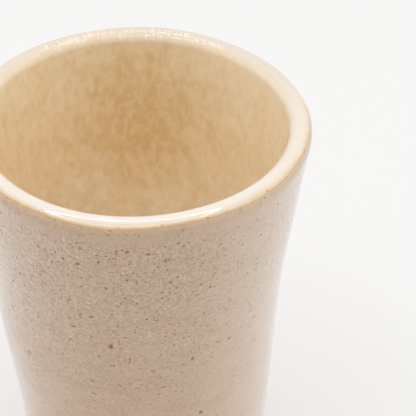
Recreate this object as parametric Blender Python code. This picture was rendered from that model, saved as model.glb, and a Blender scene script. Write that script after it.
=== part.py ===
"""Handleless stoneware espresso cup: one thrown clay body under two coats of glaze.

Metres, +Z up. The origin is the middle of the foot, on the table.
Every face of the wall is an arc about one shared centre, so the clay and its coats stay parallel.
"""
import math

import bmesh
import bpy

# Driving sizes of the glazed cup
RIM_DIAMETER = 0.0600
CUP_HEIGHT = 0.0780
WALL_THICKNESS = 0.0040
BASE_DIAMETER = 0.0453
FLARE_RADIUS = 0.557
FLOOR_CORNER_RADIUS = 0.0090

# Driving sizes of the glaze coats
COAT_THICKNESS = 0.0004
COAT_GAP = 0.0003
LAP_DROP = 0.0008
GLAZE_LINE_HEIGHT = 0.0050

# Driving sizes of the turned foot
CLAY_FLOOR_THICKNESS = 0.0038
FOOT_ROUND_RADIUS = 0.0025
FOOT_RING_WIDTH = 0.0040
FOOT_RECESS_DEPTH = 0.0016
FOOT_EDGE_RADIUS = 0.0005

# Facets: steps round the cup and along each stretch of its outline
ROUND_STEPS = 64
WALL_STEPS = 6
LIP_STEPS = 4
SHOULDER_STEPS = 2
CORNER_STEPS = 7
FOOT_STEPS = 4
COAT_EDGE_STEPS = 3
SHARP_ANGLE = math.radians(40)
MERGE_DISTANCE = 0.000002

# Colour (linear), roughness
CLAY_FINISH = ((0.305, 0.190, 0.115), 0.85)
LINER_FINISH = ((0.640, 0.430, 0.225), 0.12)
OUTER_FINISH = ((0.560, 0.430, 0.335), 0.45)

# Sizes that follow from the driving sizes
RIM_RADIUS = RIM_DIAMETER / 2
BASE_RADIUS = BASE_DIAMETER / 2
LIP_RADIUS = WALL_THICKNESS / 2
LIP_CENTRE = (RIM_RADIUS - LIP_RADIUS, CUP_HEIGHT - LIP_RADIUS)
CLAY_DEPTH = COAT_THICKNESS + COAT_GAP
FLOOR_HEIGHT = FOOT_RECESS_DEPTH + CLAY_FLOOR_THICKNESS + CLAY_DEPTH
LAP_ANGLE = math.asin((LIP_RADIUS - LAP_DROP) / LIP_RADIUS)
SEAM_ANGLE = LAP_ANGLE - (COAT_GAP + COAT_THICKNESS) / LIP_RADIUS


def flare_centre():
    """Centre of the wall's sweep: the outer face runs through the base point and is tangent to the lip."""
    across = LIP_CENTRE[0] - BASE_RADIUS
    up = LIP_CENTRE[1] - GLAZE_LINE_HEIGHT
    span = math.hypot(across, up)
    along = (FLARE_RADIUS**2 - (FLARE_RADIUS + LIP_RADIUS)**2 + span**2) / (2 * span)
    aside = math.sqrt(FLARE_RADIUS**2 - along**2)
    radius = BASE_RADIUS + (along * across + aside * up) / span
    height = GLAZE_LINE_HEIGHT + (along * up - aside * across) / span
    return radius, height


FLARE_CENTRE = flare_centre()


def arc(centre, radius, start, end, steps):
    """Points on a circle from one angle to another, both ends included; angle 0 points away from the axis."""
    angles = [start + (end - start) * step / steps for step in range(steps + 1)]
    return [(centre[0] + radius * math.cos(a), centre[1] + radius * math.sin(a)) for a in angles]


def height_angle(radius, height):
    """Angle about the flare centre of the point at this height, on the side that faces the axis."""
    return math.pi - math.asin((height - FLARE_CENTRE[1]) / radius)


def round_centre(distance, height):
    """Centre of a rounding at this height whose distance from the flare centre makes it tangent to the wall."""
    rise = height - FLARE_CENTRE[1]
    return FLARE_CENTRE[0] - math.sqrt(distance**2 - rise**2), height


LIP_TOP_ANGLE = height_angle(FLARE_RADIUS + LIP_RADIUS, LIP_CENTRE[1])
LIP_TILT = LIP_TOP_ANGLE - math.pi
FOOT_ROUND_DISTANCE = FLARE_RADIUS + CLAY_DEPTH + FOOT_ROUND_RADIUS
FOOT_ROUND_ANGLE = height_angle(FOOT_ROUND_DISTANCE, FOOT_ROUND_RADIUS)


def inside_face(depth, lip_end):
    """From the middle of the floor, up the inside and over the lip, this deep below the glazed surface."""
    corner_distance = FLARE_RADIUS + WALL_THICKNESS + FLOOR_CORNER_RADIUS
    corner = round_centre(corner_distance, FLOOR_HEIGHT + FLOOR_CORNER_RADIUS)
    corner_angle = height_angle(corner_distance, corner[1])
    wall_radius = FLARE_RADIUS + WALL_THICKNESS - depth
    points = [(0.0, FLOOR_HEIGHT - depth)]
    points += arc(corner, FLOOR_CORNER_RADIUS + depth, -math.pi / 2, corner_angle - math.pi, CORNER_STEPS)
    points += arc(FLARE_CENTRE, wall_radius, corner_angle, LIP_TOP_ANGLE, WALL_STEPS)[1:]
    points += arc(LIP_CENTRE, LIP_RADIUS - depth, LIP_TILT + math.pi, math.pi / 2, LIP_STEPS)[1:]
    points += arc(LIP_CENTRE, LIP_RADIUS - depth, math.pi / 2, lip_end, SHOULDER_STEPS)[1:]
    return points


def outside_face(depth, lip_start, wall_end):
    """From the shoulder of the lip down the outside wall, this deep below the glazed surface."""
    points = arc(LIP_CENTRE, LIP_RADIUS - depth, lip_start, LIP_TILT, SHOULDER_STEPS)
    points += arc(FLARE_CENTRE, FLARE_RADIUS + depth, LIP_TOP_ANGLE, wall_end, WALL_STEPS)[1:]
    return points


def coat_edge(start, end):
    """Half round between the two faces at the edge of a coat, without its end points."""
    middle = ((start[0] + end[0]) / 2, (start[1] + end[1]) / 2)
    radius = math.dist(start, end) / 2
    first = math.atan2(start[1] - middle[1], start[0] - middle[0])
    return arc(middle, radius, first, first - math.pi, COAT_EDGE_STEPS)[1:-1]


def foot_outline():
    """From the end of the outer wall, round under the foot, along the ring and into the recess."""
    rounding = round_centre(FOOT_ROUND_DISTANCE, FOOT_ROUND_RADIUS)
    rounding_start = FOOT_ROUND_ANGLE - math.pi
    cove_radius = FOOT_RECESS_DEPTH - FOOT_EDGE_RADIUS
    edge = (rounding[0] - FOOT_RING_WIDTH + FOOT_EDGE_RADIUS, FOOT_EDGE_RADIUS)
    cove = (edge[0] - FOOT_EDGE_RADIUS - cove_radius, FOOT_EDGE_RADIUS)
    points = arc(rounding, FOOT_ROUND_RADIUS, rounding_start, -math.pi / 2, FOOT_STEPS)[1:]
    points += arc(edge, FOOT_EDGE_RADIUS, -math.pi / 2, -math.pi, FOOT_STEPS)
    points += arc(cove, cove_radius, 0.0, math.pi / 2, FOOT_STEPS)[1:]
    points.append((0.0, FOOT_RECESS_DEPTH))
    return points


def stoneware_outline():
    """Outline of the clay, from the middle of its floor to the middle of the recess under it."""
    inside = inside_face(CLAY_DEPTH, LAP_ANGLE)
    outside = outside_face(CLAY_DEPTH, LAP_ANGLE, FOOT_ROUND_ANGLE)
    return inside + outside[1:] + foot_outline()


def liner_outline():
    """Outline of the inside coat: its shiny face out to the lap, then back along the clay."""
    shiny = inside_face(0.0, LAP_ANGLE)
    hidden = inside_face(COAT_THICKNESS, LAP_ANGLE)
    return shiny + coat_edge(shiny[-1], hidden[-1]) + hidden[::-1]


def outer_coat_outline():
    """Outline of the outside coat: down its satin face, then back up along the clay, as a closed loop."""
    wall_end = height_angle(FLARE_RADIUS, GLAZE_LINE_HEIGHT)
    satin = outside_face(0.0, SEAM_ANGLE, wall_end)
    hidden = outside_face(COAT_THICKNESS, SEAM_ANGLE, wall_end)
    lower_edge = coat_edge(satin[-1], hidden[-1])
    upper_edge = coat_edge(hidden[0], satin[0])
    return satin + lower_edge + hidden[::-1] + upper_edge


def glazed_material(name, finish):
    """Principled material with a colour and a roughness; none of these surfaces is metal."""
    material = bpy.data.materials.new(name)
    material.use_nodes = True
    shader = material.node_tree.nodes["Principled BSDF"]
    shader.inputs["Base Color"].default_value = (*finish[0], 1.0)
    shader.inputs["Roughness"].default_value = finish[1]
    shader.inputs["Metallic"].default_value = 0.0
    return material


def turned_piece(name, outline, is_loop, material, parent):
    """Spin an outline in the XZ plane round the cup's axis into one closed, smooth piece."""
    shape = bmesh.new()
    corners = [shape.verts.new((radius, 0.0, height)) for radius, height in outline]
    sides = [shape.edges.new(pair) for pair in zip(corners, corners[1:])]
    if is_loop:
        sides.append(shape.edges.new((corners[-1], corners[0])))
    bmesh.ops.spin(shape, geom=corners + sides, cent=(0.0, 0.0, 0.0), axis=(0.0, 0.0, 1.0),
                   angle=2 * math.pi, steps=ROUND_STEPS, use_merge=True)
    bmesh.ops.remove_doubles(shape, verts=shape.verts, dist=MERGE_DISTANCE)
    bmesh.ops.recalc_face_normals(shape, faces=shape.faces)
    mesh = bpy.data.meshes.new(name)
    shape.to_mesh(mesh)
    shape.free()
    mesh.shade_smooth()
    mesh.set_sharp_from_angle(angle=SHARP_ANGLE)
    mesh.materials.append(material)
    piece = bpy.data.objects.new(name, mesh)
    piece.parent = parent
    bpy.context.scene.collection.objects.link(piece)


for leftover in list(bpy.data.objects):
    bpy.data.objects.remove(leftover)

cup = bpy.data.objects.new("cup", None)
bpy.context.scene.collection.objects.link(cup)

# The clay, thrown in one piece and turned underneath
turned_piece("stoneware_body", stoneware_outline(), False, glazed_material("bare_stoneware", CLAY_FINISH), cup)

# The honey glaze poured inside, which rolls over the lip
turned_piece("liner_glaze", liner_outline(), False, glazed_material("honey_glaze", LINER_FINISH), cup)

# The satin glaze on the outside, from the lap to the line above the foot
turned_piece("outer_glaze", outer_coat_outline(), True, glazed_material("satin_beige_glaze", OUTER_FINISH), cup)
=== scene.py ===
import math

import bmesh
import bpy
import numpy as np
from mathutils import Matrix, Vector
from mathutils.geometry import delaunay_2d_cdt


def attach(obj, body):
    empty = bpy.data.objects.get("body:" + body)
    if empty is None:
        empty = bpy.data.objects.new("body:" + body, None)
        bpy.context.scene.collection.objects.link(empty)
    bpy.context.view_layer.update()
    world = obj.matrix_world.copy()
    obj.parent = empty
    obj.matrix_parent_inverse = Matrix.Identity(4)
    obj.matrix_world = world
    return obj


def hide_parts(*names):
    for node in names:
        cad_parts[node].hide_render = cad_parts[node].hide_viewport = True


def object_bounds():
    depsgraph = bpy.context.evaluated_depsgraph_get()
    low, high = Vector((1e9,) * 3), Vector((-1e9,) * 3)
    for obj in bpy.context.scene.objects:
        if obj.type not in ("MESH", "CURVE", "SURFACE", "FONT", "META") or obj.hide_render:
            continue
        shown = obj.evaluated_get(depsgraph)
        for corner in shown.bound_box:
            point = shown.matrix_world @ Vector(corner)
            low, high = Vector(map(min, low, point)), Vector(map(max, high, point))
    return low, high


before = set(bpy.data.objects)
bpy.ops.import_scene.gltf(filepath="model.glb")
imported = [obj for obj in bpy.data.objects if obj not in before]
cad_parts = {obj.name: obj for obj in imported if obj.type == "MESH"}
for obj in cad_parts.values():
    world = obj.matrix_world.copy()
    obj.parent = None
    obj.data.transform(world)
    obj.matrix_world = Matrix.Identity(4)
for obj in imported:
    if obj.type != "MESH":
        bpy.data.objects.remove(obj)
cad_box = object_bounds()


# Clay body
# The cup itself is one piece of iron-speckled stoneware, thrown on a wheel and turned underneath
# once it was leather hard. Both glazes are fired onto it, and only its foot stays bare.

MM = 0.001
rim_radius = cad_box[1].x
cup_height = cad_box[1].z
wall_thickness = 4.0 * MM
base_radius = 22.65 * MM
flare_radius = 557 * MM
glaze_line = 5.0 * MM
floor_height = 6.1 * MM
floor_corner_radius = 9.0 * MM
coat_depth = 0.4 * MM
coat_bite = 0.02 * MM
foot_round_radius = 2.5 * MM
foot_ring_width = 4.0 * MM
foot_recess_depth = 1.6 * MM
foot_edge_radius = 0.5 * MM
turning_groove_depth = 0.04 * MM
turning_groove_spacing = 1.2 * MM

# Spacing of the mesh: columns round the cup, and points along the hidden wall, the lip and the bare foot
columns = 360
hidden_wall_spacing = 2.0 * MM
hidden_lip_spacing = 0.4 * MM
foot_spacing = 0.22 * MM
weld_distance = 0.002 * MM

# Waves round the belly of the wall: height, number of waves, turn
belly_waves = [(0.16 * MM, 2, 0.7), (0.10 * MM, 3, -1.1)]

# Swellings on the left (-1) or right (1) of the wall: side, height off it, height up it, reach
side_swellings = [(-1, 0.80 * MM, 36 * MM, 11 * MM), (-1, -0.15 * MM, 15 * MM, 8 * MM),
                  (1, -0.35 * MM, 47 * MM, 11 * MM), (1, 0.30 * MM, 20 * MM, 9 * MM)]

# The rim is drawn in a little, most on the left, and its height leans and wavers
rim_draw = 0.01 * MM
rim_draw_left = 0.05 * MM
rim_draw_power = 8
rim_lean = 0.15 * MM
rim_lean_angle = 2.4
rim_waver = 0.03 * MM
rim_waver_count = 5

# Dips in the rim: depth, angle round the cup, sharpness
rim_dips = [(0.50 * MM, 0.5, 3), (0.22 * MM, -2.0, 4)]

toasted_dark = (0.30, 0.185, 0.11)
toasted_pale = (0.40, 0.265, 0.165)
grain_brown = (0.24, 0.145, 0.085)
grog_buff = (0.58, 0.44, 0.31)
iron_black = (0.060, 0.032, 0.020)

lip_radius = wall_thickness / 2
lip_centre = (rim_radius - lip_radius, cup_height - lip_radius)
clay_depth = coat_depth - coat_bite


def flare_centre():
    """Centre of the wall's sweep: the outer face runs through the base and is tangent to the lip."""
    across = lip_centre[0] - base_radius
    up = lip_centre[1] - glaze_line
    span = math.hypot(across, up)
    along = (flare_radius**2 - (flare_radius + lip_radius) ** 2 + span**2) / (2 * span)
    aside = math.sqrt(flare_radius**2 - along**2)
    radius = base_radius + (along * across + aside * up) / span
    height = glaze_line + (along * up - aside * across) / span
    return radius, height


wall_centre = flare_centre()


def arc(centre, radius, start, end, spacing):
    """Points on a circle from one angle to another, about this far apart; 0 points away from the axis."""
    steps = max(1, round(abs(end - start) * radius / spacing))
    angles = np.linspace(start, end, steps + 1)
    return np.stack([centre[0] + radius * np.cos(angles), centre[1] + radius * np.sin(angles)], 1)


def straight(start, end, spacing):
    """Points on a straight line between two (radius, height) places, about this far apart."""
    steps = max(1, round(math.dist(start, end) / spacing))
    return np.linspace(start, end, steps + 1)


def joined(*stretches):
    """One outline from stretches that meet end to end, with each meeting point kept once."""
    return np.concatenate([stretches[0]] + [stretch[1:] for stretch in stretches[1:]])


def wall_angle(radius, height):
    """Angle about the wall's centre of the point at this height, on the side that faces the axis."""
    return math.pi - math.asin((height - wall_centre[1]) / radius)


def round_centre(distance, height):
    """Centre of a rounding at this height and distance from the wall's centre, tangent to the wall."""
    return wall_centre[0] - math.sqrt(distance**2 - (height - wall_centre[1]) ** 2), height


lip_wall_angle = wall_angle(flare_radius + lip_radius, lip_centre[1])
lip_tilt = lip_wall_angle - math.pi


def inside_face(depth, spacing, lip_spacing, lip_end):
    """From the middle of the floor up the inside and over the lip, this deep under the glazed surface."""
    corner_distance = flare_radius + wall_thickness + floor_corner_radius
    corner = round_centre(corner_distance, floor_height + floor_corner_radius)
    corner_angle = wall_angle(corner_distance, corner[1])
    bend = arc(corner, floor_corner_radius + depth, -math.pi / 2, corner_angle - math.pi, spacing)
    wall = arc(wall_centre, flare_radius + wall_thickness - depth, corner_angle, lip_wall_angle, spacing)
    lip = arc(lip_centre, lip_radius - depth, lip_tilt + math.pi, lip_end, lip_spacing)
    return joined(straight((0.0, floor_height - depth), bend[0], spacing), bend, wall, lip)


def outside_face(depth, spacing, lip_spacing, lip_start):
    """From the lip's shoulder down the outside to the glaze line, this deep under the glazed surface."""
    lip = arc(lip_centre, lip_radius - depth, lip_start, lip_tilt, lip_spacing)
    radius = flare_radius + depth
    wall = arc(wall_centre, radius, lip_wall_angle, wall_angle(radius, glaze_line), spacing)
    return joined(lip, wall)


def foot_face(depth, spacing):
    """From the glaze line down the bare clay, round under the foot ring and across the recess."""
    radius = flare_radius + depth
    rounding_distance = radius + foot_round_radius
    rounding = round_centre(rounding_distance, foot_round_radius)
    rounding_angle = wall_angle(rounding_distance, foot_round_radius)
    cove_radius = foot_recess_depth - foot_edge_radius
    edge = (rounding[0] - foot_ring_width + foot_edge_radius, foot_edge_radius)
    cove = (edge[0] - foot_edge_radius - cove_radius, foot_edge_radius)
    bare_wall = arc(wall_centre, radius, wall_angle(radius, glaze_line), rounding_angle, spacing)
    outer_edge = arc(rounding, foot_round_radius, rounding_angle - math.pi, -math.pi / 2, spacing)
    inner_edge = arc(edge, foot_edge_radius, -math.pi / 2, -math.pi, foot_edge_radius / 4)
    hollow = arc(cove, cove_radius, 0.0, math.pi / 2, spacing)
    ring = straight(outer_edge[-1], inner_edge[0], spacing)
    recess = straight(hollow[-1], (0.0, foot_recess_depth), spacing)
    grooves = 2 * math.pi * (recess[:, 0] - recess[0, 0]) / turning_groove_spacing
    recess[:, 1] += turning_groove_depth * (0.5 - 0.5 * np.cos(grooves))
    return joined(bare_wall, outer_edge, ring, inner_edge, hollow, recess)


def waves(angle, kinds):
    """Sum of waves at an angle round the cup; each kind is a height, a number of waves and a turn."""
    return sum(height * np.cos(count * angle + turn) for height, count, turn in kinds)


def hand_thrown(points):
    """Points moved off the true circle as a thrower's hands leave them: uneven wall, dipping rim."""
    x, y, z = points.T
    angle = np.arctan2(y, x)
    share = np.clip(z / cup_height, 0, 1)
    swell = np.sin(math.pi * share) ** 2 * waves(angle, belly_waves)
    for side, size, height, reach in side_swellings:
        facing = np.clip(side * np.cos(angle), 0, 1) ** 2
        swell += size * facing * np.exp(-(((z - height) / reach) ** 2))
    swell -= share**rim_draw_power * (rim_draw + rim_draw_left * (1 - np.cos(angle)))
    dip = rim_lean * (1 - np.cos(angle - rim_lean_angle))
    dip += rim_waver * (1 - np.cos(rim_waver_count * angle))
    for depth, middle, sharpness in rim_dips:
        dip += depth * np.clip(np.cos(angle - middle), 0, 1) ** sharpness
    return np.stack([x + swell * np.cos(angle), y + swell * np.sin(angle), z - dip * share**2], 1)


def turned(outline, count):
    """An outline spun round the cup's axis: points row by row, and the faces between the rows."""
    angles = np.linspace(0, 2 * math.pi, count, endpoint=False)
    radius = outline[:, :1]
    height = np.repeat(outline[:, 1:], count, 1)
    points = np.stack([radius * np.cos(angles), radius * np.sin(angles), height], 2).reshape(-1, 3)
    row, column = np.meshgrid(np.arange(len(outline) - 1), np.arange(count), indexing="ij")
    here = (row * count + column).ravel()
    beside = (row * count + (column + 1) % count).ravel()
    return points, np.stack([here, beside, beside + count, here + count], 1)


def solid_piece(name, points, faces, masks, material):
    """One closed, smooth piece with its meeting rims welded; masks are values kept at its points."""
    mesh = bpy.data.meshes.new(name)
    mesh.from_pydata(points.tolist(), [], faces)
    for mask_name, values in masks.items():
        mask = mesh.attributes.new(mask_name, "FLOAT", "POINT")
        mask.data.foreach_set("value", np.asarray(values, np.float32))
    shape = bmesh.new()
    shape.from_mesh(mesh)
    bmesh.ops.remove_doubles(shape, verts=shape.verts, dist=weld_distance)
    bmesh.ops.recalc_face_normals(shape, faces=shape.faces)
    shape.to_mesh(mesh)
    shape.free()
    mesh.shade_smooth()
    mesh.materials.append(material)
    piece = bpy.data.objects.new(name, mesh)
    bpy.context.scene.collection.objects.link(piece)
    return piece


def add(tree, kind, values, **settings):
    """A new node; values go to its inputs by name or number: numbers, colours or another node's output."""
    made = tree.nodes.new(kind)
    for setting, value in settings.items():
        setattr(made, setting, value)
    for socket, value in values.items():
        if isinstance(value, bpy.types.NodeSocket):
            tree.links.new(value, made.inputs[socket])
        else:
            made.inputs[socket].default_value = value
    return made


def maths(tree, operation, first, second=0.0):
    """Output of a Math node."""
    return add(tree, "ShaderNodeMath", {0: first, 1: second}, operation=operation).outputs[0]


def plus(tree, first, second):
    """Output of two values added together."""
    return maths(tree, "ADD", first, second)


def times(tree, first, *others):
    """Output of two or more values multiplied together."""
    for other in others:
        first = maths(tree, "MULTIPLY", first, other)
    return first


def vectors(tree, operation, values):
    """Output of a Vector Math node that gives a vector."""
    return add(tree, "ShaderNodeVectorMath", values, operation=operation).outputs["Vector"]


def fade(tree, value, start, end, low=0.0, high=1.0):
    """Output that goes smoothly from low to high while value goes from start to end."""
    values = {"Value": value, "From Min": start, "From Max": end, "To Min": low, "To Max": high}
    return add(tree, "ShaderNodeMapRange", values, interpolation_type="SMOOTHSTEP").outputs[0]


def blend(tree, factor, first, second):
    """Output colour between two colours; each is a (red, green, blue) tuple or another node's output."""
    ends = [(*c, 1.0) if isinstance(c, tuple) else c for c in (first, second)]
    mix = add(tree, "ShaderNodeMix", {0: factor, 6: ends[0], 7: ends[1]}, data_type="RGBA")
    return mix.outputs[2]


def effect(name, inputs, outputs):
    """A new shader node group with float inputs besides Place, and its input and output nodes."""
    group = bpy.data.node_groups.new(name, "ShaderNodeTree")
    group.interface.new_socket("Place", in_out="INPUT", socket_type="NodeSocketVector")
    for socket in inputs:
        group.interface.new_socket(socket, in_out="INPUT", socket_type="NodeSocketFloat")
    for socket in outputs:
        group.interface.new_socket(socket, in_out="OUTPUT", socket_type="NodeSocketFloat")
    return group, group.nodes.new("NodeGroupInput").outputs, group.nodes.new("NodeGroupOutput").inputs


def stretched(group, given):
    """The group's Place with its height divided by Stretch, so that marks come out that much taller."""
    shrink = maths(group, "DIVIDE", 1.0, given["Stretch"])
    squeeze = add(group, "ShaderNodeCombineXYZ", {"X": 1.0, "Y": 1.0, "Z": shrink}).outputs[0]
    return vectors(group, "MULTIPLY", {0: given["Place"], 1: squeeze})


def cloud_effect():
    """Soft clouds of colour in a fired surface, Stretch times as tall as they are wide."""
    group, given, made = effect("clouds", ["Scale", "Stretch", "Detail"], ["Cloud"])
    noise = add(group, "ShaderNodeTexNoise", {"Vector": stretched(group, given), "Scale": given["Scale"],
                                              "Detail": given["Detail"], "Roughness": 0.55})
    group.links.new(fade(group, noise.outputs[0], 0.32, 0.68), made["Cloud"])
    return group


def speck_effect():
    """Ragged specks scattered over a surface: their mask, and a tone that differs from speck to speck."""
    group, given, made = effect("specks", ["Scale", "Stretch", "Size", "Share"], ["Mask", "Tone"])
    raggedness = (0.7, 0.7, 0.7)
    place = vectors(group, "SCALE", {0: stretched(group, given), "Scale": given["Scale"]})
    jitter = add(group, "ShaderNodeTexNoise", {"Vector": place, "Scale": 2.2, "Detail": 1.0})
    shifted = vectors(group, "MULTIPLY_ADD", {0: jitter.outputs["Color"], 1: raggedness, 2: place})
    cells = add(group, "ShaderNodeTexVoronoi", {"Vector": shifted, "Scale": 1.0})
    chance = add(group, "ShaderNodeSeparateColor", {0: cells.outputs["Color"]}).outputs
    reach = times(group, given["Size"], fade(group, chance[1], 0.0, 1.0, 0.45, 1.0))
    dot = fade(group, cells.outputs["Distance"], reach, times(group, reach, 0.55))
    kept = maths(group, "LESS_THAN", chance[0], given["Share"])
    group.links.new(times(group, dot, kept), made["Mask"])
    group.links.new(chance[2], made["Tone"])
    return group


def wheel_effect():
    """Fine lines round the cup that fingers, ribs and turning tools leave on the wheel."""
    group, given, made = effect("wheel lines", ["Scale", "Wander"], ["Height"])
    flat = vectors(group, "MULTIPLY", {0: given["Place"], 1: (1.0, 1.0, 0.0)})
    radius = add(group, "ShaderNodeVectorMath", {0: flat}, operation="LENGTH").outputs["Value"]
    height = add(group, "ShaderNodeSeparateXYZ", {0: given["Place"]}).outputs["Z"]
    drift = add(group, "ShaderNodeTexNoise", {"Vector": given["Place"], "Scale": 60.0, "Detail": 1.0})
    drift = times(group, drift.outputs[0], given["Wander"])
    across = add(group, "ShaderNodeCombineXYZ", {"X": radius, "Y": height, "Z": drift}).outputs[0]
    lines = add(group, "ShaderNodeTexNoise", {"Vector": across, "Scale": given["Scale"], "Detail": 2.0})
    group.links.new(lines.outputs[0], made["Height"])
    return group


clouds = cloud_effect()
specks = speck_effect()
wheel_lines = wheel_effect()


def placed(tree, group, place, **values):
    """One of the shared effects in a material, with its own values; gives the group node's outputs."""
    made = add(tree, "ShaderNodeGroup", {}, node_tree=group)
    tree.links.new(place, made.inputs["Place"])
    for socket, value in values.items():
        made.inputs[socket].default_value = value
    return made.outputs


def fired_material(name):
    """A new material: its node tree, its shader and the place on the cup in metres."""
    material = bpy.data.materials.new(name)
    material.use_nodes = True
    tree = material.node_tree
    place = add(tree, "ShaderNodeTexCoord", {}).outputs["Object"]
    return material, tree, tree.nodes["Principled BSDF"], place


def bare_stoneware():
    """Toasted stoneware: warm brown, dry, with grog, iron specks and turning lines."""
    material, tree, shader, place = fired_material("bare_stoneware")
    toast = placed(tree, clouds, place, Scale=160.0, Stretch=0.5, Detail=4.0)["Cloud"]
    grain = placed(tree, clouds, place, Scale=2600.0, Stretch=1.0, Detail=3.0)["Cloud"]
    grog = placed(tree, specks, place, Scale=1500.0, Stretch=1.0, Size=0.42, Share=0.35)["Mask"]
    iron = placed(tree, specks, place, Scale=700.0, Stretch=1.0, Size=0.34, Share=0.22)["Mask"]
    lines = placed(tree, wheel_lines, place, Scale=1700.0, Wander=0.004)["Height"]
    colour = blend(tree, toast, toasted_dark, toasted_pale)
    colour = blend(tree, times(tree, grain, 0.30), colour, grain_brown)
    colour = blend(tree, times(tree, grog, 0.55), colour, grog_buff)
    colour = blend(tree, times(tree, iron, 0.85), colour, iron_black)
    tree.links.new(colour, shader.inputs["Base Color"])
    tree.links.new(fade(tree, grain, 0.0, 1.0, 0.72, 0.90), shader.inputs["Roughness"])
    relief = plus(tree, times(tree, grain, 0.5), lines)
    relief = plus(tree, relief, times(tree, grog, 0.4))
    bump = add(tree, "ShaderNodeBump", {"Strength": 0.5, "Distance": 0.06 * MM, "Height": relief})
    tree.links.new(bump.outputs[0], shader.inputs["Normal"])
    return material


clay_outline = joined(
    inside_face(clay_depth, hidden_wall_spacing, hidden_lip_spacing, math.pi / 2),
    outside_face(clay_depth, hidden_wall_spacing, hidden_lip_spacing, math.pi / 2),
    foot_face(clay_depth, foot_spacing),
)
clay_points, clay_faces = turned(clay_outline, columns)

clay_body = solid_piece("clay_body", hand_thrown(clay_points), clay_faces.tolist(), {}, bare_stoneware())
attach(clay_body, "root")
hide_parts("stoneware_body")


# Honey liner
# A glossy honey glaze, poured into the cup and swirled out again. It breaks to cream where it runs
# thin over the lip, and ends just outside it in a fine uneven amber line.

honey_spacing = 0.6 * MM
honey_lip_spacing = 0.12 * MM
honey_back_spacing = 1.5 * MM
coat_edge_spacing = 0.08 * MM
glaze_ior = 1.52

# The liner's edge: the angle of its even line on the lip, and how far up from that line it lies
lap_angle = math.radians(36.9)
lap_rise = 0.18 * MM

# Waves by which the edge wanders, as height, number and turn, and how far in the glaze follows them
lap_waves = [(0.13 * MM, 1, 0.70), (0.13 * MM, 7, 5.97), (0.028 * MM, 23, 2.0), (0.028 * MM, 61, 0.0)]
lap_reach = 0.68 * MM

# The bead of glaze that drew together along the edge
lap_bead = 0.012 * MM
bead_width = 0.30 * MM

# The thrower's spiral on the floor, which fades out towards its eye and its outer end
floor_spiral = 0.10 * MM
floor_spiral_spacing = 4.5 * MM
floor_spiral_radius = 10.0 * MM
floor_spiral_eye = 2.0 * MM
floor_from_lap = 10 * MM

# Painted shade on the back wall inside, as darker amber: its middle, and the distances over which it fades
# out
painted_shade_middle = (2 * MM, 24 * MM, 62 * MM)
painted_shade_reach = (1 * MM, 18 * MM)

# Heights, and places across the cup, between which the glaze inside changes, and where painted light lifts
# it lower down and towards +X
painted_light_heights = (64 * MM, 46 * MM)
floor_pool_heights = (14 * MM, 7 * MM)
dull_heights = (24 * MM, 9 * MM)
painted_light_side = (0.0, 26 * MM)

# Distances from the liner's edge, and then places across the cup, between which it changes over the lip
edge_line = (0.0, 0.32 * MM)
edge_crumbs = (0.2 * MM, 0.5 * MM)
yellow_edge = (0.22 * MM, 1.28 * MM)
cream_to_honey = (1.0 * MM, 7.0 * MM)
inner_lip = (2.4 * MM, 4.6 * MM)
lip_crown = 2.93 * MM
ripple_start = (1.4 * MM, 1.8 * MM)
ripple_end = (3.9 * MM, 4.3 * MM)
right_side = (12 * MM, 28 * MM)
back_side = (-8 * MM, 18 * MM)
highlight_middle = -3.0 * MM
highlight_sides = (12.5 * MM, 15.0 * MM)
thin_slope = 0.025

pool_amber = (0.940, 0.726, 0.452)
pool_pale = (0.955, 0.768, 0.512)
streak_amber = (0.830, 0.590, 0.300)
painted_light_dull = (0.935, 0.800, 0.595)
painted_light_bright = (0.995, 0.905, 0.740)
painted_shade_amber = (0.780, 0.535, 0.245)
painted_light_honey = (0.975, 0.852, 0.660)
fleck_pale = (0.985, 0.885, 0.705)
fleck_amber = (0.815, 0.545, 0.250)
floor_amber = (0.790, 0.560, 0.290)
cream_plain = (0.860, 0.795, 0.720)
cream_line = (0.850, 0.775, 0.690)
cream_right = (0.845, 0.750, 0.630)
cream_back = (0.770, 0.676, 0.582)
cream_inner = (0.955, 0.835, 0.650)
cream_under_highlights = (0.720, 0.610, 0.480)
painted_highlight_white = (0.985, 0.935, 0.860)
edge_yellow = (0.810, 0.635, 0.425)
edge_straw = (0.835, 0.675, 0.480)
edge_amber = (0.740, 0.520, 0.295)
crumb_brown = (0.520, 0.285, 0.095)


def lengths(outline):
    """Distance along an outline from its first point to each of its points."""
    return np.concatenate([[0.0], np.cumsum(np.hypot(*np.diff(outline, axis=0).T))])


def raised(outline, lift):
    """An outline moved off its surface by lift, to the left of its way along."""
    along = np.gradient(outline, lengths(outline), axis=0)
    return outline + np.asarray(lift)[:, None] * np.stack([-along[:, 1], along[:, 0]], 1)


def rounded_edge(start, end, spacing):
    """Half circle from one face of a coat to the other, round its fired edge."""
    middle = ((start[0] + end[0]) / 2, (start[1] + end[1]) / 2)
    first = math.atan2(start[1] - middle[1], start[0] - middle[0])
    return arc(middle, math.dist(start, end) / 2, first, first - math.pi, spacing)


def lap_edge(angle):
    """How far the liner's edge runs down past its even line, for angles round the cup."""
    return waves(angle, lap_waves) - lap_rise


def kept_value(tree, name):
    """Output of a value that the mesh keeps at its points."""
    return add(tree, "ShaderNodeAttribute", {}, attribute_name=name).outputs["Fac"]


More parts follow.
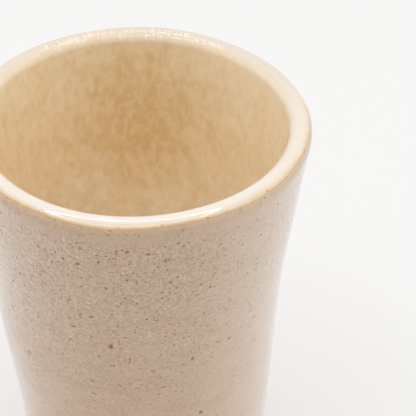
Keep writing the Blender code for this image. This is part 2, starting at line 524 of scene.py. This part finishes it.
def honey_wall(tree, place, ways, flecks, drift):
    """Colour of the thick glaze inside: amber pools, painted shade in the middle of the back wall, painted
    light low down and towards +X, flecks all over.
    """
    pools = placed(tree, clouds, place, Scale=150.0, Stretch=1.1, Detail=1.0)["Cloud"]
    streaks = placed(tree, clouds, place, Scale=330.0, Stretch=1.7, Detail=1.0)["Cloud"]
    colour = blend(tree, pools, pool_amber, pool_pale)
    colour = blend(tree, times(tree, streaks, 0.30), colour, streak_amber)
    # Painted light: lower down, the inside is painted paler, lifting the shade deep in the cup.
    painted_low_light = blend(tree, fade(tree, drift, 0.2, 0.8), painted_light_dull, painted_light_bright)
    depth = plus(tree, ways["Z"], times(tree, pools, 10 * MM))
    colour = blend(tree, fade(tree, depth, *painted_light_heights, high=0.85), colour, painted_low_light)
    # Painted shade: the middle of the back wall is painted darker amber.
    from_painted_shade = add(tree, "ShaderNodeVectorMath", {0: place, 1: painted_shade_middle}, operation="DISTANCE")
    from_painted_shade = maths(tree, "SUBTRACT", from_painted_shade.outputs["Value"], times(tree, streaks, 4 * MM))
    colour = blend(tree, fade(tree, from_painted_shade, *painted_shade_reach, low=0.84, high=0.0), colour, painted_shade_amber)
    # Painted light: the inside is painted paler towards +X, as if more light fell there.
    colour = blend(tree, fade(tree, ways["X"], *painted_light_side, high=0.38), colour, painted_light_honey)
    colour = blend(tree, fade(tree, flecks, 0.2, 1.0, high=0.32), colour, fleck_pale)
    colour = blend(tree, fade(tree, flecks, 0.5, 0.0, high=0.16), colour, fleck_amber)
    return blend(tree, fade(tree, ways["Z"], *floor_pool_heights, high=0.60), colour, floor_amber)


def cream_lip(tree, ways, from_lap, lines, to_back, highlight_zone):
    """Colour of the thin glaze on the lip: cream, warmer on the right, at the back and further in, and
    darker where the painted highlights lie at the back.
    """
    cream = blend(tree, fade(tree, lines, 0.35, 0.65), cream_plain, cream_line)
    cream = blend(tree, fade(tree, ways["X"], *right_side, high=0.7), cream, cream_right)
    cream = blend(tree, to_back, cream, cream_back)
    turned_in = times(tree, to_back, fade(tree, from_lap, *inner_lip))
    cream = blend(tree, turned_in, cream, cream_inner)
    # Darker cream under the painted highlights at the back of the lip.
    return blend(tree, times(tree, highlight_zone, 0.55), cream, cream_under_highlights)


def lip_ripples(tree, place, from_lap):
    """Mask of short ripples across the lip, in one row outside its crown and another inside; they are
    bumped and also painted as highlights.
    """
    flat = vectors(tree, "MULTIPLY", {0: place, 1: (1.0, 1.0, 0.0)})
    round_rim = vectors(tree, "NORMALIZE", {0: flat})
    row = maths(tree, "GREATER_THAN", from_lap, lip_crown)
    over_lip = add(tree, "ShaderNodeCombineXYZ", {"Z": row}).outputs[0]
    on_rim = vectors(tree, "ADD", {0: round_rim, 1: over_lip})
    ripple = add(tree, "ShaderNodeTexNoise", {"Vector": on_rim, "Scale": 70.0, "Detail": 1.0}).outputs[0]
    past_edge = fade(tree, from_lap, *ripple_start)
    before_wall = fade(tree, from_lap, *ripple_end, low=1.0, high=0.0)
    return times(tree, fade(tree, ripple, 0.47, 0.72), past_edge, before_wall)


def honey_glaze():
    """Clear amber over pale clay: pale cloudy flecks, amber pools, a cream lip with painted highlights at
    its back, and an amber edge.
    """
    material, tree, shader, place = fired_material("honey_glaze")
    from_lap = kept_value(tree, "from_lap")
    ways = add(tree, "ShaderNodeSeparateXYZ", {0: place}).outputs
    large_flecks = placed(tree, clouds, place, Scale=600.0, Stretch=1.5, Detail=1.0)["Cloud"]
    small_flecks = placed(tree, clouds, place, Scale=1000.0, Stretch=1.5, Detail=1.0)["Cloud"]
    flecks = times(tree, plus(tree, large_flecks, small_flecks), 0.5)
    drift = placed(tree, clouds, place, Scale=260.0, Stretch=0.7, Detail=1.0)["Cloud"]
    crumbs = placed(tree, specks, place, Scale=1000.0, Stretch=0.9, Size=0.40, Share=0.36)["Mask"]
    lines = placed(tree, wheel_lines, place, Scale=2600.0, Wander=0.003)["Height"]
    to_back = fade(tree, ways["Y"], *back_side)
    from_highlight_middle = maths(tree, "ABSOLUTE", maths(tree, "SUBTRACT", ways["X"], highlight_middle))
    highlight_zone = times(tree, to_back, fade(tree, from_highlight_middle, *highlight_sides, low=1.0, high=0.05))
    marks = lip_ripples(tree, place, from_lap)
    thin = plus(tree, from_lap, times(tree, drift, -0.5 * MM))
    thin = plus(tree, thin, times(tree, ways["Y"], thin_slope))
    thin = maths(tree, "SUBTRACT", thin, times(tree, ways["X"], thin_slope))
    cream = cream_lip(tree, ways, from_lap, lines, to_back, highlight_zone)
    honey = honey_wall(tree, place, ways, flecks, drift)
    colour = blend(tree, fade(tree, thin, *cream_to_honey), cream, honey)
    # Painted highlight: the ripples at the back of the lip are painted near white, in place of the ring
    # lamp's reflection in them.
    painted_highlight_share = times(tree, marks, fade(tree, highlight_zone, 0.0, 1.0, 0.05, 0.75))
    colour = blend(tree, painted_highlight_share, colour, painted_highlight_white)
    yellow = blend(tree, fade(tree, drift, 0.2, 0.8), edge_yellow, edge_straw)
    colour = blend(tree, fade(tree, from_lap, *yellow_edge), yellow, colour)
    colour = blend(tree, fade(tree, from_lap, *edge_line, low=1.0, high=0.0), colour, edge_amber)
    dots = times(tree, crumbs, fade(tree, from_lap, *edge_crumbs, low=0.85, high=0.0))
    colour = blend(tree, dots, colour, crumb_brown)
    tree.links.new(colour, shader.inputs["Base Color"])
    dull = fade(tree, ways["Z"], *dull_heights, high=0.17)
    rough = plus(tree, fade(tree, flecks, 0.0, 1.0, 0.05, 0.09), dull)
    tree.links.new(rough, shader.inputs["Roughness"])
    relief = plus(tree, times(tree, lines, 0.5), times(tree, flecks, 0.3))
    bump = add(tree, "ShaderNodeBump", {"Strength": 0.10, "Distance": 0.03 * MM, "Height": relief})
    combed_bump = add(tree, "ShaderNodeBump", {"Strength": 1.0, "Distance": 0.04 * MM, "Height": marks,
                                               "Normal": bump.outputs[0]})
    tree.links.new(combed_bump.outputs[0], shader.inputs["Normal"])
    shader.inputs["IOR"].default_value = glaze_ior
    return material


honey_face = inside_face(0.0, honey_spacing, honey_lip_spacing, lap_angle)
to_lap = lengths(honey_face)[-1] - lengths(honey_face)
honey_face = raised(honey_face, lap_bead * np.exp(-(((to_lap - bead_width) / bead_width) ** 2)))
honey_back = inside_face(coat_depth, honey_back_spacing, hidden_lip_spacing, lap_angle)[::-1]
honey_edge = rounded_edge(honey_face[-1], honey_back[0], coat_edge_spacing)
honey_outline = joined(honey_face, honey_edge, honey_back)
honey_outline[0, 0] = 0.0
from_lap = lengths(honey_face)[-1] - lengths(honey_outline)

honey_points, honey_faces = turned(honey_outline, columns)
honey_angle = np.arctan2(honey_points[:, 1], honey_points[:, 0])
honey_radius = np.hypot(honey_points[:, 0], honey_points[:, 1])
honey_from_lap = np.repeat(from_lap, columns)
wander = lap_edge(honey_angle) * np.exp(-((honey_from_lap / lap_reach) ** 2))
honey_points[:, 0] += wander * math.sin(lap_angle) * np.cos(honey_angle)
honey_points[:, 1] += wander * math.sin(lap_angle) * np.sin(honey_angle)
honey_points[:, 2] -= wander * math.cos(lap_angle)
spiral = np.cos(2 * math.pi * honey_radius / floor_spiral_spacing - honey_angle)
spiral *= np.clip(1 - honey_radius / floor_spiral_radius, 0, 1)
spiral *= np.clip(honey_radius / floor_spiral_eye, 0, 1)
honey_points[:, 2] += floor_spiral * spiral * (honey_from_lap > floor_from_lap)

honey_liner = solid_piece("honey_liner", hand_thrown(honey_points), honey_faces.tolist(),
                          {"from_lap": honey_from_lap}, honey_glaze())
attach(honey_liner, "root")
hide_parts("liner_glaze")


# Satin coat
# A satin, pinkish beige glaze on the outside, from under the liner's edge down to the glaze line.
# Gas from the clay burst through it in the kiln and left pinholes, with iron bleeding up beside them.

satin_spacing = 1.2 * MM
satin_columns = 180
satin_step = 0.1 * MM
satin_back_spacing = 3.0 * MM
satin_back_lip_spacing = 0.3 * MM
middle_radius = 26 * MM
tuck_angle = math.radians(52)
tuck_depth = 0.07 * MM
tuck_fade = 0.5 * MM
low_bead = 0.06 * MM
low_bead_place = 0.6 * MM
low_bead_width = math.sqrt(0.2) * MM

# The smooth band under the liner, whose lower edge wavers: share of its width, number of waves, turn
band_width = 3.7 * MM
band_blur = 2.6 * MM
band_rise = 0.04 * MM
band_waves = [(0.10, 3, 1.0), (0.06, 8, 0.0), (0.04, 21, 0.0)]

# Pits: their sizes, how near they come to each other and to the coat's edges, and where they grow fewer
pit_count = 3700
pit_radius = 0.090 * MM
pit_radius_spread = 0.50
pit_radius_least = 0.055 * MM
pit_radius_most = 0.25 * MM
pit_depth_most = 0.09 * MM
pit_apart = 2.3
pit_clear = 2.4
seam_margin = 1.2 * MM
lap_margin = 0.9 * MM
foot_margin = 1.5 * MM
low_start = 20 * MM
low_reach = 30 * MM
calm_turn = math.radians(330)
calm_reach = math.radians(30)
pit_seed = 29

# Large iron spots, listed one by one: degrees round from +X, millimetres up the wall, radius in millimetres
iron_spots = [(-101.7, 48.8, 0.46), (-87.5, 71.7, 0.26), (-124.7, 69.6, 0.26), (-115.6, 68.7, 0.26),
              (-94.5, 65.6, 0.22), (-110.5, 62.8, 0.18), (-107.8, 55.7, 0.15), (-81.2, 67.5, 0.15),
              (-72.7, 69.4, 0.12), (-63.9, 67.8, 0.12), (-88.2, 55.9, 0.20), (-70.5, 44.2, 0.30),
              (-65.6, 29.5, 0.36), (-20, 52, 0.28), (35, 60, 0.26), (80, 30, 0.40), (120, 55, 0.28),
              (165, 24, 0.34)]
iron_spot_stretch = 0.8
iron_spot_depth = 0.04 * MM

# Each pit is a crater of rings: reach in pit radii, number of points, lift in pit depths, stain
crater_rings = [(0.0, 1, -1.0, 1.0), (0.75, 5, -0.8, 1.0), (1.2, 7, 0.30, 0.40), (1.9, 7, 0.0, 0.0)]

# Where the colour changes: heights, distances to either side of the front's middle, and below the liner
front_middle = -7 * MM
busy_heights = (28 * MM, 66 * MM)
busy_sides = (12 * MM, 27 * MM)
painted_sheen_sides = (8 * MM, 30 * MM)
tint_reach = (0.1 * MM, 1.5 * MM)
drip_reach = (0.3 * MM, 1.1 * MM)

satin_rose = (0.545, 0.376, 0.250)
satin_pale = (0.605, 0.430, 0.298)
band_beige = (0.575, 0.398, 0.258)
tint_amber = (0.695, 0.485, 0.290)
painted_sheen_pale = (0.800, 0.630, 0.480)
sand_dark = (0.430, 0.280, 0.172)
sand_pale = (0.660, 0.492, 0.360)
speck_amber = (0.520, 0.280, 0.105)
speck_brown = (0.300, 0.135, 0.048)
speck_and_glint_pale = (0.760, 0.635, 0.520)
drip_amber = (0.530, 0.295, 0.100)
stain_brown = (0.410, 0.195, 0.066)
bled_dark = (0.180, 0.054, 0.012)
bled_amber = (0.430, 0.215, 0.080)

satin_face = outside_face(0.0, satin_step, satin_step, tuck_angle)
satin_along = lengths(satin_face)
satin_length = satin_along[-1]
satin_width = 2 * math.pi * middle_radius
lap_along = (tuck_angle - lap_angle) * lip_radius
tuck = tuck_depth * np.clip(1 - (satin_along - lap_along) / tuck_fade, 0, 1) ** 2
bead = low_bead * np.exp(-(((satin_length - satin_along - low_bead_place) / low_bead_width) ** 2))
satin_face = raised(satin_face, bead - tuck)
satin_back = outside_face(coat_depth, satin_back_spacing, satin_back_lip_spacing, tuck_angle)[::-1]
satin_low_edge = rounded_edge(satin_face[-1], satin_back[0], coat_edge_spacing)
satin_high_edge = rounded_edge(satin_back[-1], satin_face[0], coat_edge_spacing)


def scattered_pits():
    """Pits as rows of across, along, radius, stretch, lean, depth, strength and tone, none touching."""
    chance = np.random.default_rng(pit_seed)
    kept = []
    for degrees, height, radius in iron_spots:
        across = (degrees % 360) / 360 * satin_width
        along = np.interp(-height * MM, -satin_face[:, 1], satin_along)
        tone = 0.22 + height / 300
        kept.append((across, along, radius * MM, iron_spot_stretch, 0.0, iron_spot_depth, 1.0, tone))
    while len(kept) < pit_count:
        across = chance.uniform(seam_margin, satin_width - seam_margin)
        below = chance.uniform(lap_margin, satin_length - lap_along - foot_margin)
        turn = 2 * math.pi * across / satin_width
        # Pits crowd together in patches that slant round the wall
        patch = 0.55 + 0.25 * math.sin(7 * turn + 2 * math.sin(3 * turn) + below / (3.3 * MM))
        patch += 0.20 * math.sin(13 * turn + 1.0 - below / (2.1 * MM))
        low = min(1.0, max(0.0, below - low_start) / low_reach)
        in_band = below < band_width
        crowd = patch * (0.5 if in_band else 1.0) * (1.0 - 0.35 * low)
        crowd *= 1.0 - 0.65 * math.exp(-(((turn - calm_turn) / calm_reach) ** 2))
        radius = pit_radius * math.exp(chance.normal(0.0, pit_radius_spread)) * (0.8 if in_band else 1.0)
        radius = min(max(radius, pit_radius_least), pit_radius_most)
        stretch = 0.55 + chance.random() * (0.7 + 0.4 * low) + 0.6 * low
        lean = chance.uniform(-0.8, 0.8) * (1.0 - low) + 0.2 * low
        depth = min(radius, pit_depth_most) * chance.uniform(0.3, 0.7) * (1.0 - 0.6 * low)
        tone = (0.9 - 0.4 * low) * chance.random() + 0.4 * low
        strength = (0.75 if in_band else 1.0) * (1.0 - 0.45 * low) * chance.uniform(0.45, 1.1)
        if chance.random() > crowd:
            continue
        along = below + lap_along
        others = np.array(kept)
        away = np.hypot(others[:, 0] - across, others[:, 1] - along)
        reach = others[:, 2] * np.maximum(others[:, 3], 0.8) + radius * max(stretch, 0.8)
        if np.all(away > pit_apart * reach):
            kept.append((across, along, radius, stretch, lean, depth, strength, tone))
    return np.array(kept)


def pitted_sheet(pits):
    """The satin face laid out flat, as rows of across, along, lift, stain and tone, and its faces."""
    grid_across = np.linspace(0, satin_width, satin_columns + 1)
    grid_along = np.linspace(0, satin_length, round(satin_length / satin_spacing) + 1)
    plain = np.stack(np.meshgrid(grid_across, grid_along), 2).reshape(-1, 2)
    clear = np.ones(len(plain), bool)
    for across, along, radius, stretch in pits[:, :4]:
        away = np.hypot(plain[:, 0] - across, plain[:, 1] - along)
        clear &= away > pit_clear * radius * max(1.0, stretch)
    rows = [np.column_stack([plain[clear], np.zeros((clear.sum(), 3))])]
    for across, along, radius, stretch, lean, depth, strength, tone in pits:
        for reach, count, lift, stain in crater_rings:
            turn = 2 * math.pi * (np.arange(count) / count + tone)
            ragged = reach * radius * (1 + waves(turn, [(0.20, 2, 40 * tone), (0.12, 3, 90 * tone)]))
            wide = ragged * stretch * np.cos(turn)
            tall = ragged * np.sin(turn)
            rows.append(np.column_stack([
                across + wide * math.cos(lean) - tall * math.sin(lean),
                along + wide * math.sin(lean) + tall * math.cos(lean),
                np.full(count, lift * depth), np.full(count, stain * strength), np.full(count, tone)]))
    sheet = np.concatenate(rows)
    flat = [Vector((across / MM, along / MM)) for across, along in sheet[:, :2]]
    _, _, faces, sources, _, _ = delaunay_2d_cdt(flat, [], [], 0, 0.00001)
    return sheet[[source[0] for source in sources]], list(faces)


def satin_glaze():
    """Satin beige over iron-bearing clay: soft clouds, fine specks, brown pinholes, a smooth top band,
    painted sheen on the flanks.
    """
    material, tree, shader, place = fired_material("satin_glaze")
    pit = kept_value(tree, "pit")
    tone = kept_value(tree, "pit_tone")
    band = kept_value(tree, "smooth_band")
    below_lap = kept_value(tree, "below_lap")
    ways = add(tree, "ShaderNodeSeparateXYZ", {0: place}).outputs
    patches = placed(tree, clouds, place, Scale=140.0, Stretch=0.5, Detail=2.0)["Cloud"]
    grain = placed(tree, clouds, place, Scale=1700.0, Stretch=0.9, Detail=2.0)["Cloud"]
    peel = placed(tree, clouds, place, Scale=800.0, Stretch=0.8, Detail=2.0)["Cloud"]
    clusters = placed(tree, clouds, place, Scale=210.0, Stretch=0.8, Detail=2.0)["Cloud"]
    amber = placed(tree, specks, place, Scale=1350.0, Stretch=1.2, Size=0.46, Share=0.42)
    brown = placed(tree, specks, place, Scale=1900.0, Stretch=1.2, Size=0.48, Share=0.24)
    pale = placed(tree, specks, place, Scale=1500.0, Stretch=1.0, Size=0.52, Share=0.28)
    lines = placed(tree, wheel_lines, place, Scale=900.0, Wander=0.010)["Height"]
    ragged_band = plus(tree, band, times(tree, maths(tree, "SUBTRACT", peel, 0.5), 0.5))
    sideways = maths(tree, "ABSOLUTE", maths(tree, "SUBTRACT", ways["X"], front_middle))
    open_wall = fade(tree, ragged_band, 0.1, 0.9, 1.0, 0.36)
    open_wall = times(tree, open_wall, fade(tree, ways["Z"], *busy_heights, low=0.36, high=1.05))
    open_wall = times(tree, open_wall, fade(tree, sideways, *busy_sides, low=1.0, high=0.40))
    colour = blend(tree, patches, satin_rose, satin_pale)
    colour = blend(tree, times(tree, ragged_band, 0.6), colour, band_beige)
    tint = plus(tree, below_lap, times(tree, peel, 0.5 * MM))
    colour = blend(tree, fade(tree, tint, *tint_reach, low=0.80, high=0.0), colour, tint_amber)
    # Painted sheen: the coat is painted paler towards both sides of the front's middle.
    colour = blend(tree, fade(tree, sideways, *painted_sheen_sides, high=0.46), colour, painted_sheen_pale)
    sand = blend(tree, grain, sand_dark, sand_pale)
    colour = blend(tree, times(tree, open_wall, 0.58), colour, sand)
    specked = times(tree, open_wall, fade(tree, clusters, 0.1, 0.9, 0.45, 1.30))
    amber_share = times(tree, amber["Mask"], specked, fade(tree, amber["Tone"], 0.0, 1.0, 0.30, 1.40))
    colour = blend(tree, amber_share, colour, speck_amber)
    brown_share = times(tree, brown["Mask"], specked, fade(tree, brown["Tone"], 0.0, 1.0, 0.40, 1.30))
    colour = blend(tree, brown_share, colour, speck_brown)
    # Pale specks in the glaze, partly painted glints.
    speck_and_glint_share = times(tree, pale["Mask"], specked, 0.55, fade(tree, ragged_band, 0.1, 0.9, 1.0, 0.3))
    colour = blend(tree, speck_and_glint_share, colour, speck_and_glint_pale)
    drips = times(tree, amber["Mask"], fade(tree, below_lap, *drip_reach, low=1.0, high=0.0))
    colour = blend(tree, drips, colour, drip_amber)
    bled = blend(tree, fade(tree, tone, 0.25, 0.90), bled_dark, bled_amber)
    colour = blend(tree, fade(tree, pit, 0.0, 0.45, high=0.80), colour, stain_brown)
    colour = blend(tree, fade(tree, pit, 0.40, 0.95, high=0.85), colour, bled)
    tree.links.new(colour, shader.inputs["Base Color"])
    rough = fade(tree, grain, 0.0, 1.0, 0.14, 0.22)
    tree.links.new(plus(tree, rough, times(tree, pit, 0.3)), shader.inputs["Roughness"])
    relief = plus(tree, peel, times(tree, grain, 0.4))
    relief = plus(tree, relief, times(tree, lines, 0.8))
    relief = times(tree, relief, open_wall)
    relief = maths(tree, "SUBTRACT", relief, times(tree, brown_share, 1.5))
    bump = add(tree, "ShaderNodeBump", {"Strength": 0.70, "Distance": 0.08 * MM, "Height": relief})
    tree.links.new(bump.outputs[0], shader.inputs["Normal"])
    shader.inputs["IOR"].default_value = glaze_ior
    shader.inputs["Sheen Weight"].default_value = 0.85
    shader.inputs["Sheen Roughness"].default_value = 0.42
    return material


sheet, sheet_faces = pitted_sheet(scattered_pits())
sheet_along = sheet[:, 1]
at_seam = sheet[:, 0] > satin_width - weld_distance / 2
sheet_angle = np.where(at_seam, 0.0, sheet[:, 0] / satin_width * 2 * math.pi)
band_end = lap_along + band_width * (1 + waves(sheet_angle, band_waves))
in_band = np.clip(0.5 - (sheet_along - band_end) / band_blur, 0, 1)
in_band = in_band**2 * (3 - 2 * in_band)
slope_out, slope_up = np.gradient(satin_face, satin_along, axis=0).T
lift = sheet[:, 2] - band_rise * (1 - in_band)
satin_radius = np.interp(sheet_along, satin_along, satin_face[:, 0])
satin_radius -= lift * np.interp(sheet_along, satin_along, slope_up)
satin_height = np.interp(sheet_along, satin_along, satin_face[:, 1])
satin_height += lift * np.interp(sheet_along, satin_along, slope_out)
satin_x = satin_radius * np.cos(sheet_angle)
satin_y = satin_radius * np.sin(sheet_angle)
satin_points = np.stack([satin_x, satin_y, satin_height], 1)
back_points, back_faces = turned(joined(satin_low_edge, satin_back, satin_high_edge), satin_columns)
back_faces = back_faces + len(satin_points)
plain_back = np.zeros(len(back_points))

satin_masks = {"pit": sheet[:, 3], "pit_tone": sheet[:, 4], "smooth_band": in_band,
               "below_lap": sheet_along - lap_along - lap_edge(sheet_angle)}
satin_coat = solid_piece(
    "satin_coat",
    hand_thrown(np.concatenate([satin_points, back_points])),
    sheet_faces + back_faces.tolist(),
    {name: np.concatenate([mask, plain_back]) for name, mask in satin_masks.items()},
    satin_glaze(),
)
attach(satin_coat, "root")
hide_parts("outer_glaze")


# Studio
# A pale matt table in a bright white room under soft light: an even glow all round, more of it from
# the ceiling and the two sides, and a thin ring lamp overhead, made of short straight pieces.

table_size = 6.0
table_colour = (0.900, 0.897, 0.890)
table_mist = tuple(0.99 * c for c in table_colour)
table_white = (0.925, 0.920, 0.912)
shadow_lift = 0.5
ring_pieces = 32
ring_height = 0.95
ring_radius = 0.385
ring_middle = (-0.02, -0.03)
ring_width = 0.045
ring_power = 4.0
room_colour = (0.94, 0.94, 0.94)
room_light = 0.355
ceiling_light = 0.51
side_light = 0.89

# Where the extra glow starts and where it is full: how far up, or sideways, a way into the room points
ceiling_reach = (0.5, 1.0)
side_reach = (0.4, 1.0)


def seen_ray(tree):
    """Output that is 1 for the rays that see a surface straight, mirrored or through glass."""
    rays = add(tree, "ShaderNodeLightPath", {}).outputs
    seen = maths(tree, "MAXIMUM", rays["Is Camera Ray"], rays["Is Glossy Ray"])
    return maths(tree, "MAXIMUM", seen, rays["Is Transmission Ray"])


def pale_table():
    """Matt white table top with the faintest cloudiness; what is seen of it is lifted halfway to white."""
    material, tree, shader, place = fired_material("pale_table")
    mist = placed(tree, clouds, place, Scale=3.0, Stretch=1.0, Detail=2.0)["Cloud"]
    tree.links.new(blend(tree, mist, table_colour, table_mist), shader.inputs["Base Color"])
    shader.inputs["Roughness"].default_value = 0.9
    shader.inputs["Specular IOR Level"].default_value = 0.1
    white = add(tree, "ShaderNodeEmission", {"Color": (*table_white, 1.0), "Strength": 1.0})
    lift = times(tree, seen_ray(tree), shadow_lift)
    lifted = add(tree, "ShaderNodeMixShader", {0: lift, 1: shader.outputs[0], 2: white.outputs[0]})
    tree.links.new(lifted.outputs[0], tree.nodes["Material Output"].inputs["Surface"])
    return material


def lamp(name, place, target, length, width, power):
    """A soft rectangular lamp of this length, width and power at place, turned towards target."""
    light = bpy.data.lights.new(name, "AREA")
    light.shape = "RECTANGLE"
    light.size = length
    light.size_y = width
    light.energy = power
    made = bpy.data.objects.new(name, light)
    made.location = place
    made.rotation_euler = (Vector(target) - Vector(place)).to_track_quat("-Z", "Y").to_euler()
    bpy.context.scene.collection.objects.link(made)


half = table_size / 2
table_corners = [(-half, -half, 0), (half, -half, 0), (half, half, 0), (-half, half, 0)]
table_mesh = bpy.data.meshes.new("table")
table_mesh.from_pydata(table_corners, [], [(0, 1, 2, 3)])
table_mesh.materials.append(pale_table())
table = bpy.data.objects.new("table", table_mesh)
bpy.context.scene.collection.objects.link(table)

rim_middle = (0.0, 0.0, cup_height)
piece_length = 2 * math.pi * ring_radius / ring_pieces
piece_power = ring_power / ring_pieces
for number in range(ring_pieces):
    turn = 2 * math.pi * number / ring_pieces
    lamp_x = ring_middle[0] + ring_radius * math.cos(turn)
    lamp_y = ring_middle[1] + ring_radius * math.sin(turn)
    lamp_place = (lamp_x, lamp_y, ring_height)
    lamp(f"ring_lamp_{number}", lamp_place, rim_middle, piece_length, ring_width, piece_power)

room = bpy.data.worlds.new("white_room")
room.use_nodes = True
room_tree = room.node_tree
way = add(room_tree, "ShaderNodeTexCoord", {}).outputs["Generated"]
room_ways = add(room_tree, "ShaderNodeSeparateXYZ", {0: way}).outputs
glow = fade(room_tree, room_ways["Z"], *ceiling_reach, low=room_light, high=room_light + ceiling_light)
to_side = maths(room_tree, "ABSOLUTE", room_ways["X"])
glow = plus(room_tree, glow, fade(room_tree, to_side, *side_reach, high=side_light))
background = room_tree.nodes["Background"]
background.inputs["Color"].default_value = (*room_colour, 1.0)
room_tree.links.new(maths(room_tree, "MAXIMUM", glow, seen_ray(room_tree)), background.inputs["Strength"])
bpy.context.scene.world = room
bpy.context.scene.view_settings.view_transform = "Standard"


# Camera
# A long lens close above the cup, looking down over its rim from the front. Its place, pitch and pan were
# worked out from the rim's two outlines and the sides of the wall.

photo_width = 416
focal_pixels = 1900
camera_place = (0.0, -0.26565, 0.26212)
camera_pitch = 0.6549
camera_pan = 0.0460

camera_data = bpy.data.cameras.new("camera")
camera_data.sensor_width = 36.0
camera_data.lens = camera_data.sensor_width * focal_pixels / photo_width
camera_data.clip_start = 0.01
camera = bpy.data.objects.new("camera", camera_data)
camera.location = camera_place
camera.rotation_euler = (math.pi / 2 - camera_pitch, 0.0, -camera_pan)
bpy.context.scene.collection.objects.link(camera)
bpy.context.scene.camera = camera
